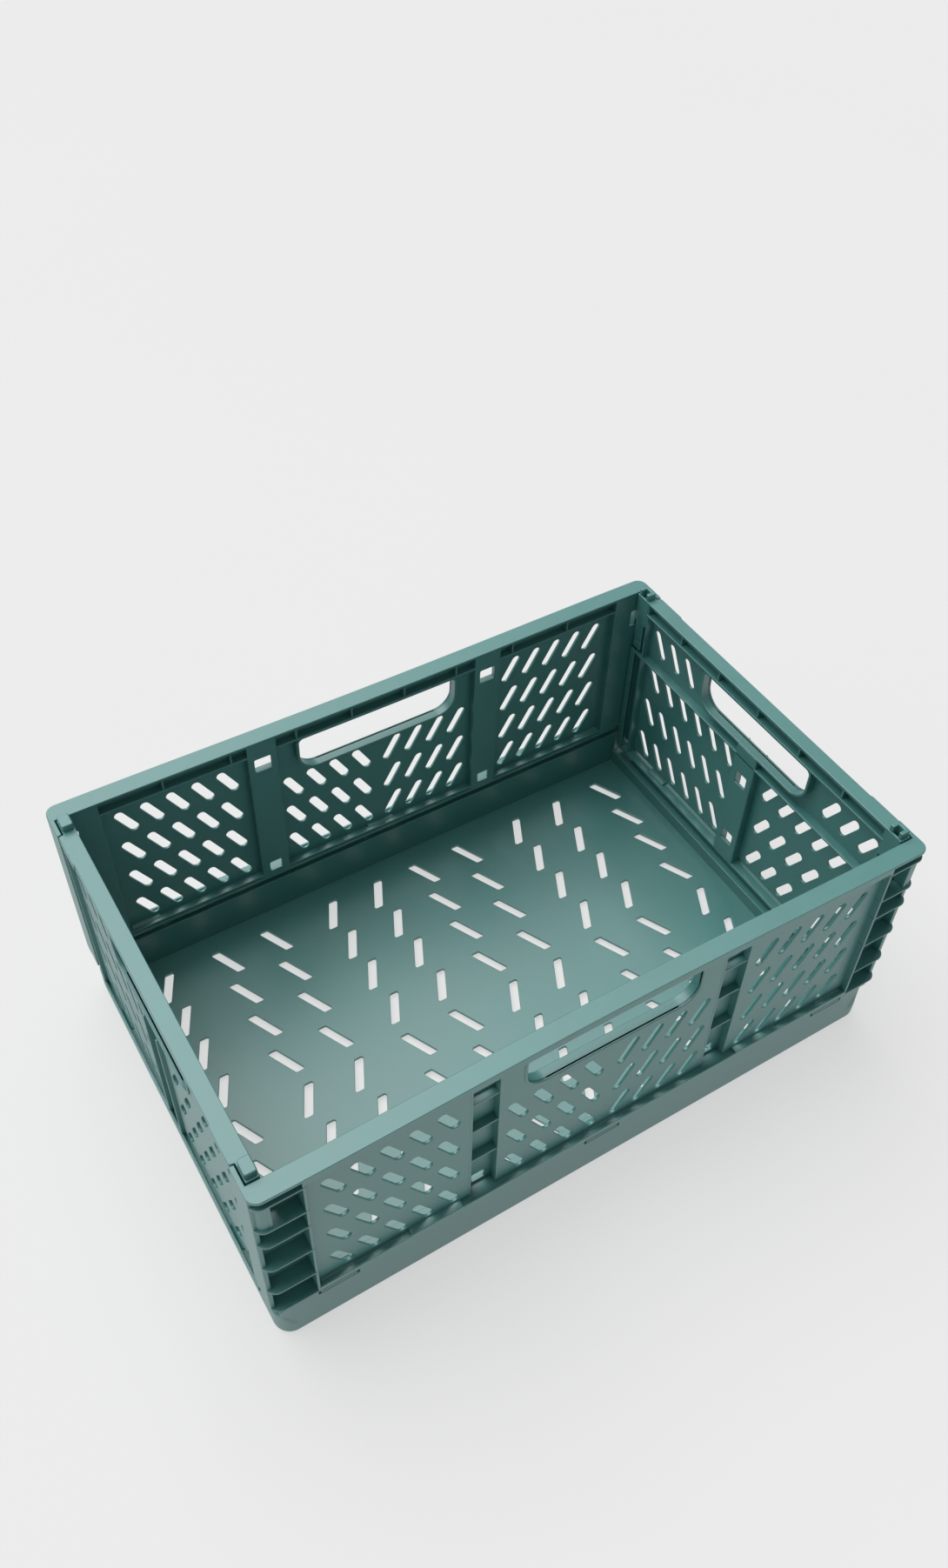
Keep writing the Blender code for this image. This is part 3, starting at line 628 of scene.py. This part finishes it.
window = opening(rounded((MID - 5.25, MID + 5.25), (133.8, 144.2), 0.9, 3))
foot_window = opening(rounded((MID - 4.0, MID + 4.0), (42.0, 50.0), 0.9, 3))
channel_skin = skin(
    [rounded((CHANNEL[0] - 1.2, CHANNEL[1] + 1.2), (FOOT_Z + 0.6, 156.8), 0.7), window, foot_window],
    INNER_D,
    0.4,
)
inner_edge = fin(
    [rounded((4.0, LONG_D - 0.04), (FOOT_Z + 0.3, 156.9), 0.6)],
    (CHANNEL[0] - 1.5, CHANNEL[0] + 0.02),
    0.35,
)
outer_edge = fin(
    [rounded((4.0, LONG_D - 0.04), (FOOT_Z + 0.3, 156.9), 0.6)],
    (CHANNEL[1] - 0.02, CHANNEL[1] + 1.5),
    0.35,
)
rungs = [
    shelf([rounded((CHANNEL[0] - 0.7, CHANNEL[1] + 0.7), (4.7, 10.2), 0.6)], (z - 0.7, z + 0.7), 0.35)
    for z in CHANNEL_RIBS
]
sleeve_line = rounded(
    (GRIP[0][0] - 1.8, GRIP[0][1] + 1.8), (GRIP[1][0] - 1.8, GRIP[1][1] + 1.6), (13.8, 13.8, 4.6, 4.6), 8
)
sleeve = skin([sleeve_line, grip_hole], (3.7, 10.75), 0.6)
long_wall("channels_and_hand_hole", [sleeve, *both(channel_skin, inner_edge, outer_edge, *rungs)])


# --- Long walls: finned corner columns --------------------------------------------------------
# At each end the wall becomes a hollow column: stacked round-nosed fins on an inner skin, a flush
# skin with a deep pocket near the top, and a plate that returns round the end of the crate.

FINS = (150.5, 127.5, 112.0, 86.5, 60.0, 37.97)
NOSE_Z = (127.5, 150.5)
NOSE_U = HALF_L - RIM_CORNER
NOSE_R = RIM_CORNER - 0.25

fin_line = cornered(
    [(COLUMN_U - 1.0, 0.05), (HALF_L - 0.04, 0.05), (HALF_L - 0.04, 10.4), (COLUMN_U - 1.0, 10.4)],
    (0.6, 6.0, 0.6, 0.6),
    8,
)
column_fins = [shelf([fin_line], (z - 0.65, z + 0.65), 0.4) for z in FINS]
tooth_window = opening(rounded((186.9, 196.4), (130.5, 143.0), 0.8, 3))
column_skin = skin(
    [rounded((COLUMN_U - 0.9, 198.6), (FOOT_Z + 0.6, 157.0), 0.7), tooth_window], (9.2, LONG_D), 0.4
)
column_edge = fin(
    [rounded((0.22, LONG_D - 0.05), (FOOT_Z + 0.2, 157.2), 0.7)], (COLUMN_U - 0.75, COLUMN_U + 0.75), 0.4
)
pocket_web = fin([rounded((1.4, 10.3), (NOSE_Z[0], NOSE_Z[1]), 0.5)], (190.9, 192.7), 0.35)
return_plate = fin([rounded((4.0, 22.5), (FOOT_Z + 1.0, 157.0), 0.8)], (HALF_L - 2.7, HALF_L - 0.08), 0.45)


def nose(shell):
    """Bends a plate drawn in s and z round the column's corner: straight, quarter circle, straight."""
    points, normals, highlight_weight, faces = shell
    s, c, z = points.T
    bend = np.clip((s - NOSE_U) / NOSE_R, 0, math.pi / 2)
    out = np.stack([np.sin(bend), -np.cos(bend)], 1)
    along = np.stack([np.cos(bend), np.sin(bend)], 1)
    past = s - NOSE_U - NOSE_R * math.pi / 2
    over = np.minimum(s - NOSE_U, 0) + np.maximum(past, 0)
    place = np.array([NOSE_U, 0.3 + NOSE_R]) + NOSE_R * out + along * over[:, None] - out * c[:, None]
    turned = normals[:, :1] * along - normals[:, 1:2] * out
    return np.hstack([place, z[:, None]]), np.hstack([turned, normals[:, 2:]]), highlight_weight, faces


nose_end = NOSE_U + NOSE_R * math.pi / 2 + 2.0
nose_line = cornered(
    [(191.4, NOSE_Z[0]), (nose_end, NOSE_Z[0]), (nose_end, NOSE_Z[1]), (191.4, NOSE_Z[1])], 0.5, 3, 0.8
)
nose_seeds = np.stack(
    np.meshgrid(np.arange(192.2, nose_end - 0.6, 0.8), [132.0, 139.0, 146.0]), 2
).reshape(-1, 2)
corner_nose = nose(skin([nose_line], (1.3, 2.9), 0.35, seeds=nose_seeds))
mark_t = np.linspace(0, 2 * math.pi, 28, endpoint=False)
ring_line = np.stack([np.cos(mark_t), np.sin(mark_t)] * 2, 1)
pin_mark = skin(
    [ring_line * [3.4, 3.4, 1, 1], opening(ring_line * [2.9, 2.9, 1, 1])],
    (LONG_D - 0.3, LONG_D + 0.07),
    0.12,
)
marks = [moved(pin_mark, 181.5, 0, z) for z in (144.0, 98.0, 55.0)]
long_wall(
    "corner_columns",
    both(*column_fins, column_skin, column_edge, pocket_web, return_plate, corner_nose, *marks),
)


# --- Long walls: knuckles ---------------------------------------------------------------------
# Three round knuckles on the foot of each long wall turn inside the tray's band; each has a
# stepped flat face that fills the notch in the band. Two thin stops rest on the band beside them.

PIVOT_D = 6.0

barrel_line = ring_line * [4.2, 4.2, 1, 1] + [PIVOT_D, 37.0, 0, 0]
barrel = fin([barrel_line], (-9.5, 9.5), 0.5)
tab_line = cornered(
    [(-10.5, 33.4), (4.0, 33.4), (4.0, 32.2), (10.5, 32.2), (10.5, 38.4), (-10.5, 38.4)],
    (0.4, 0.3, 0.3, 0.6, 0.5, 0.5),
    4,
)
tab = skin([tab_line], (2.0, 3.9), 0.3)
lip = skin([rounded((-10.6, 10.2), (30.5, 32.6), 0.45)], (1.7, 3.4), 0.35)
knuckles = [moved(s, u) for s in (barrel, tab, lip) for u in LUGS]
stop = shelf([rounded((90.5, 121.5), (-0.3, 4.6), 0.7)], (40.2, 42.6), 0.5)
long_wall("knuckles", [*knuckles, *both(stop)])


# --- End walls: panels, rim and channels ------------------------------------------------------
# The end walls, of the same plastic, stand between the long walls' return plates. Each is a thin
# panel with leaning slots, one open channel, two ledges inside, and a rim widest on two tabs.

END_FACE = 199.5
END_HALF = 120.7
END_D = 10.0
ZONE = 109.7
END_FLANGE_U = 116.0
END_FOOT = 19.8
END_GRIP = ((-49.0, 49.0), (120.5, 146.2))
END_CHANNEL = 7.8
END_LEDGE = 112.0
END_ROWS = (97.85, 67.35, 36.85)
END_PLACES = 21.1 + 15.45 * np.arange(6)
END_HIGH = 67.4 + 15.45 * np.arange(3)
END_GUSSETS = (37.3, 74.6)


def on_left(points, normals):
    """From the wall's frame to the left end: u to the front, d to the right."""
    turn = np.array([[0, -1, 0], [1, 0, 0], [0, 0, 1]])
    return points @ turn + [-END_FACE, 0, 0], normals @ turn


def on_right(points, normals):
    """From the wall's frame to the right end: u to the back, d to the left."""
    turn = np.array([[0, 1, 0], [-1, 0, 0], [0, 0, 1]])
    return points @ turn + [END_FACE, 0, 0], normals @ turn


def left_end(part, shells):
    """One part of the left end wall."""
    piece("left_end_wall_" + part, shells, on_left, wall_plastic, "left_end", "left_end_wall")


def right_end(part, shells):
    """One part of the right end wall."""
    name = "right_end_wall_" + part
    piece(name, shells, on_right, wall_plastic, "right_end", "right_end_wall")


def end_wall(part, shells):
    """The same part of both end walls."""
    left_end(part, shells)
    right_end(part, shells)


end_comb = [
    (END_CHANNEL + 0.1, END_FOOT + 5.0), (END_FLANGE_U + 0.5, END_FOOT + 5.0), (END_FLANGE_U + 0.5, 156.8),
    (-END_FLANGE_U - 0.5, 156.8), (-END_FLANGE_U - 0.5, END_FOOT + 5.0),
    (-END_CHANNEL - 0.1, END_FOOT + 5.0),
    (-END_CHANNEL - 0.1, 118.5), (END_CHANNEL + 0.1, 118.5),
]
end_holes = [*slots(END_PLACES, END_ROWS), *slots(END_HIGH, (128.0,))]
end_grip_hole = opening(rounded(*END_GRIP, GRIP_R, 8))
end_skin = skin([cornered(end_comb, [0.7] * 8, 3), *end_holes, end_grip_hole], (2.9, 4.6), 0.45)
end_sleeve_line = rounded(
    (END_GRIP[0][0] - 1.8, END_GRIP[0][1] + 1.8),
    (END_GRIP[1][0] - 1.8, END_GRIP[1][1] + 1.6),
    (13.8, 13.8, 4.6, 4.6),
    8,
)
end_sleeve = skin([end_sleeve_line, end_grip_hole], (1.8, 9.75), 0.6)
end_wall("panel_and_hand_hole", [end_skin, end_sleeve])

end_rim_line = cornered(
    [
        (-86.4, 0.7), (86.4, 0.7), (88.1, 0.02), (109.2, 0.02), (109.6, 2.9), (END_HALF, 2.9),
        (END_HALF, END_D), (-END_HALF, END_D), (-END_HALF, 2.9), (-109.6, 2.9), (-109.2, 0.02),
        (-88.1, 0.02),
    ],
    [1.2, 1.2, 1.2, 1.6, 0.5, 0.7, 0.8, 0.8, 0.7, 0.5, 1.6, 1.2],
    4,
)
pocket = opening(rounded((113.4, 117.2), (5.9, 8.5), 0.5, 3))
pockets = [pocket, (pocket * [-1, 1, -1, 1])[::-1]]
rim_span = (WALL_TOP - RIM_T, WALL_TOP)
solid_rim = shelf([end_rim_line], rim_span, 0.45)
pierced_rim = shelf([end_rim_line, *pockets], rim_span, 0.45)
end_lip = skin([rounded((-87.0, 87.0), (152.5, 157.4), 0.6)], (0.75, 2.2), 0.35)
tab_lip = skin([rounded((88.4, 109.1), (151.5, 157.4), 1.4)], (0.08, 2.2), 0.4)
end_ledge_high = shelf(
    [rounded((-116.4, 116.4), (3.0, END_D), 0.8)], (CHANNEL_TOP - 0.1, CHANNEL_TOP + 1.4), 0.4
)
end_ledge_low = shelf([rounded((-116.4, 116.4), (3.0, END_D), 0.8)], (END_LEDGE - 1.6, END_LEDGE), 0.45)
end_gussets = [
    fin([rounded((3.2, 9.2), (148.0, 157.0), 0.5)], (u - 0.65, u + 0.65), 0.3)
    for u in (0.0, *END_GUSSETS)
]
end_foot_in = shelf(
    [rounded((-END_HALF, END_HALF), (3.4, 9.9), 0.6)], (END_FOOT + 0.04, END_FOOT + 1.5), 0.35
)
end_foot_out = shelf([rounded((-ZONE, ZONE), (0.4, 9.0), 0.6)], (END_FOOT + 0.08, END_FOOT + 1.44), 0.35)
end_bar = skin([rounded((-ZONE, ZONE), (END_FOOT, 24.0), 0.7)], (0.04, 1.5), 0.4)
end_heel = skin([rounded((-120.2, 120.2), (18.05, END_FOOT + 0.8), 0.6)], (4.3, 9.4), 0.4)
end_wall(
    "rim_and_foot",
    [
        end_lip,
        end_ledge_high,
        end_ledge_low,
        end_foot_in,
        end_foot_out,
        end_bar,
        end_heel,
        end_gussets[0],
        *both(tab_lip, *end_gussets[1:]),
    ],
)

# the edges of the panel: columns, channel walls and the block that carries the latch
end_window = [opening(rounded((-4.8, 4.8), (z - 4.8, z + 4.8), 0.9, 3)) for z in (94.0, 39.8)]
end_channel_skin = skin(
    [rounded((-END_CHANNEL - 1.0, END_CHANNEL + 1.0), (20.4, 119.8), 0.7), *end_window], (8.2, END_D), 0.4
)
channel_wall = fin(
    [rounded((0.6, END_D - 0.2), (20.5, 119.6), 0.6)], (END_CHANNEL, END_CHANNEL + 1.5), 0.35
)
zone_wall = fin([rounded((0.5, 9.5), (20.5, 156.9), 0.6)], (ZONE - 1.5, ZONE), 0.35)
low_column = skin([rounded((END_FLANGE_U, END_HALF), (20.5, 112.4), 0.7)], (8.2, END_D), 0.4)
flange_low = fin([rounded((2.9, 9.6), (20.5, 112.2), 0.6)], (END_FLANGE_U, END_FLANGE_U + 1.5), 0.35)
edge_low = fin([rounded((2.9, 9.4), (20.5, 111.0), 0.6)], (END_HALF - 1.5, END_HALF), 0.35)
flange_mid = fin([rounded((2.9, 5.55), (111.0, 137.4), 0.6)], (END_FLANGE_U, END_FLANGE_U + 1.5), 0.35)
latch_block = shelf(
    [rounded((ZONE - 0.6, END_HALF - 0.02), (2.95, END_D - 0.03), 0.8), pocket], (137.0, 156.7), 0.5
)
end_wall(
    "edges",
    [
        end_channel_skin,
        *both(channel_wall, zone_wall, low_column, flange_low, edge_low, flange_mid, latch_block),
    ],
)

# the raised blocks at both ends of a rim: solid on the left wall, hollow on the right one
nub = shelf([rounded((110.5, 119.7), (3.2, 9.7), 1.3, 4)], (157.2, 162.5), 0.75)
hollow_line = cornered(
    [
        (110.5, 3.2), (119.7, 3.2), (119.7, 9.6), (117.3, 9.6),
        (117.3, 5.8), (113.3, 5.8), (113.3, 9.6), (110.5, 9.6),
    ],
    (1.3, 1.3, 0.7, 0.7, 0.5, 0.5, 0.7, 0.7),
    4,
)
hollow_nub = shelf([hollow_line], (157.2, 162.5), 0.6)
left_end("rim", [solid_rim])
left_end("stacking_nubs", both(nub))
right_end("rim", [pierced_rim])
right_end("stacking_nubs", both(hollow_nub))


# --- End walls: knuckles ----------------------------------------------------------------------
# Three small knuckles at the foot of each end wall turn in the low windows of the tray's band.

end_barrel_line = ring_line * [3.6, 3.6, 1, 1] + [5.0, 19.5, 0, 0]
end_barrel = fin([end_barrel_line], (-8.0, 8.0), 0.5)
end_tab = skin([rounded((-9.0, 9.0), (15.2, 20.6), (1.5, 1.5, 0.6, 0.6))], (1.6, 3.2), 0.4)
end_wall("knuckles", [moved(s, u) for s in (end_barrel, end_tab) for u in END_LUGS])


# --- Latches ----------------------------------------------------------------------------------
# A springy finger, moulded with the end wall, hangs from the block at each of its ends. Its
# ramped tooth clicks into the long wall's column, and two low ridges give the thumb a grip.

LATCH_U = (112.7, 120.4)

latch_plastic = moulded("satin_polypropylene_latch", (0.059, 0.226, 0.214), 0.38)
finger = skin([rounded(LATCH_U, (114.0, 136.1), (1.6, 1.6, 0.6, 0.6))], (6.6, 8.75), 0.5)
tooth = skin(
    [cornered([(118.4, 120.0), (121.15, 122.9), (121.15, 129.1), (118.4, 132.0)], 0.7, 3)],
    (6.9, 8.45),
    0.4,
)
ridges = [
    skin([rounded((113.6, 118.4), (z - 0.5, z + 0.5), 0.45)], (8.3, 9.15), 0.35)
    for z in (117.0, 119.4)
]
for name, place, hand in (
    ("latch_front_left", on_left, 1), ("latch_back_left", on_left, -1),
    ("latch_back_right", on_right, 1), ("latch_front_right", on_right, -1),
):
    shells = [finger, tooth, *ridges]
    if hand < 0:
        shells = [mirrored(s) for s in shells]
    piece(name + "_finger", shells, place, latch_plastic, name, name)


# --- Floor, light and camera ------------------------------------------------------------------
# A wide pale table that glows a little, so shadows stay faint, one large soft light high behind
# the crate's left side, and an even dim surround.

table = bpy.data.meshes.new("pale_table")
table.from_pydata([(-6, -6, 0), (6, -6, 0), (6, 6, 0), (-6, 6, 0)], [], [(0, 1, 2, 3)])
paper = bpy.data.materials.new("pale_matt_paper")
paper.use_nodes = True
paper_shader = paper.node_tree.nodes["Principled BSDF"]
paper_place = Wire(paper.node_tree).make("ShaderNodeTexCoord", (), (), "Object")
paper_tone = paper_place.noise(2.2, 2.0).tint((0.235, 0.235, 0.235, 1), (0.245, 0.245, 0.245, 1))
paper.node_tree.links.new(paper_tone.socket, paper_shader.inputs["Base Color"])
paper_shader.inputs["Emission Color"].default_value = (1.0, 1.0, 1.0, 1)
paper_shader.inputs["Emission Strength"].default_value = 0.575
paper_shader.inputs["Specular IOR Level"].default_value = 0.1
paper_shader.inputs["Roughness"].default_value = 0.9
table.materials.append(paper)
table_top = bpy.data.objects.new("pale_table", table)
bpy.context.scene.collection.objects.link(table_top)


def soft_light(name, place, target, size, power, colour):
    """A square area light aimed at a point."""
    lamp = bpy.data.lights.new(name, "AREA")
    lamp.shape = "SQUARE"
    lamp.size = size
    lamp.energy = power
    lamp.color = colour
    made = bpy.data.objects.new(name, lamp)
    made.location = place
    made.rotation_euler = (Vector(target) - Vector(place)).to_track_quat("-Z", "Y").to_euler()
    bpy.context.scene.collection.objects.link(made)


sky = bpy.data.lights.new("wide_overhead", "SUN")
sky.angle = math.radians(66.0)
sky.energy = 2.8
sky.color = (1.0, 1.0, 1.0)
sky_lamp = bpy.data.objects.new("wide_overhead", sky)
sky_lamp.rotation_euler = Vector((-0.12, 0.42, 0.90)).to_track_quat("Z", "Y").to_euler()
bpy.context.scene.collection.objects.link(sky_lamp)
soft_light("side_softbox", (-1.5, 0.5, 1.3), (0, 0, 0.1), 1.2, 3.0, (1.0, 1.0, 1.0))

world = bpy.data.worlds.new("pale_surround")
bpy.context.scene.world = world
world.use_nodes = True
world.node_tree.nodes["Background"].inputs["Color"].default_value = (1.0, 1.0, 1.0, 1)
world.node_tree.nodes["Background"].inputs["Strength"].default_value = 0.25

bpy.context.scene.view_settings.view_transform = "Standard"
bpy.context.scene.view_settings.look = "None"

CAMERA_PLACE = Vector((-0.26068, -0.39402, 0.70716))
CAMERA_BACK = Vector((-0.36528, -0.57001, 0.73598)).normalized()
CAMERA_ROLL = math.radians(1.916)

lens = bpy.data.cameras.new("camera")
lens.lens = 30.8
lens.sensor_width = 36.0
lens.clip_start = 0.01
camera = bpy.data.objects.new("camera", lens)
right = (-CAMERA_BACK).cross(Vector((0, 0, 1))).normalized()
up = right.cross(-CAMERA_BACK)
right, up = (
    math.cos(CAMERA_ROLL) * right + math.sin(CAMERA_ROLL) * up,
    math.cos(CAMERA_ROLL) * up - math.sin(CAMERA_ROLL) * right,
)
frame_axes = Matrix((right, up, CAMERA_BACK)).transposed().to_4x4()
camera.matrix_world = Matrix.Translation(CAMERA_PLACE) @ frame_axes
bpy.context.scene.collection.objects.link(camera)
bpy.context.scene.camera = camera
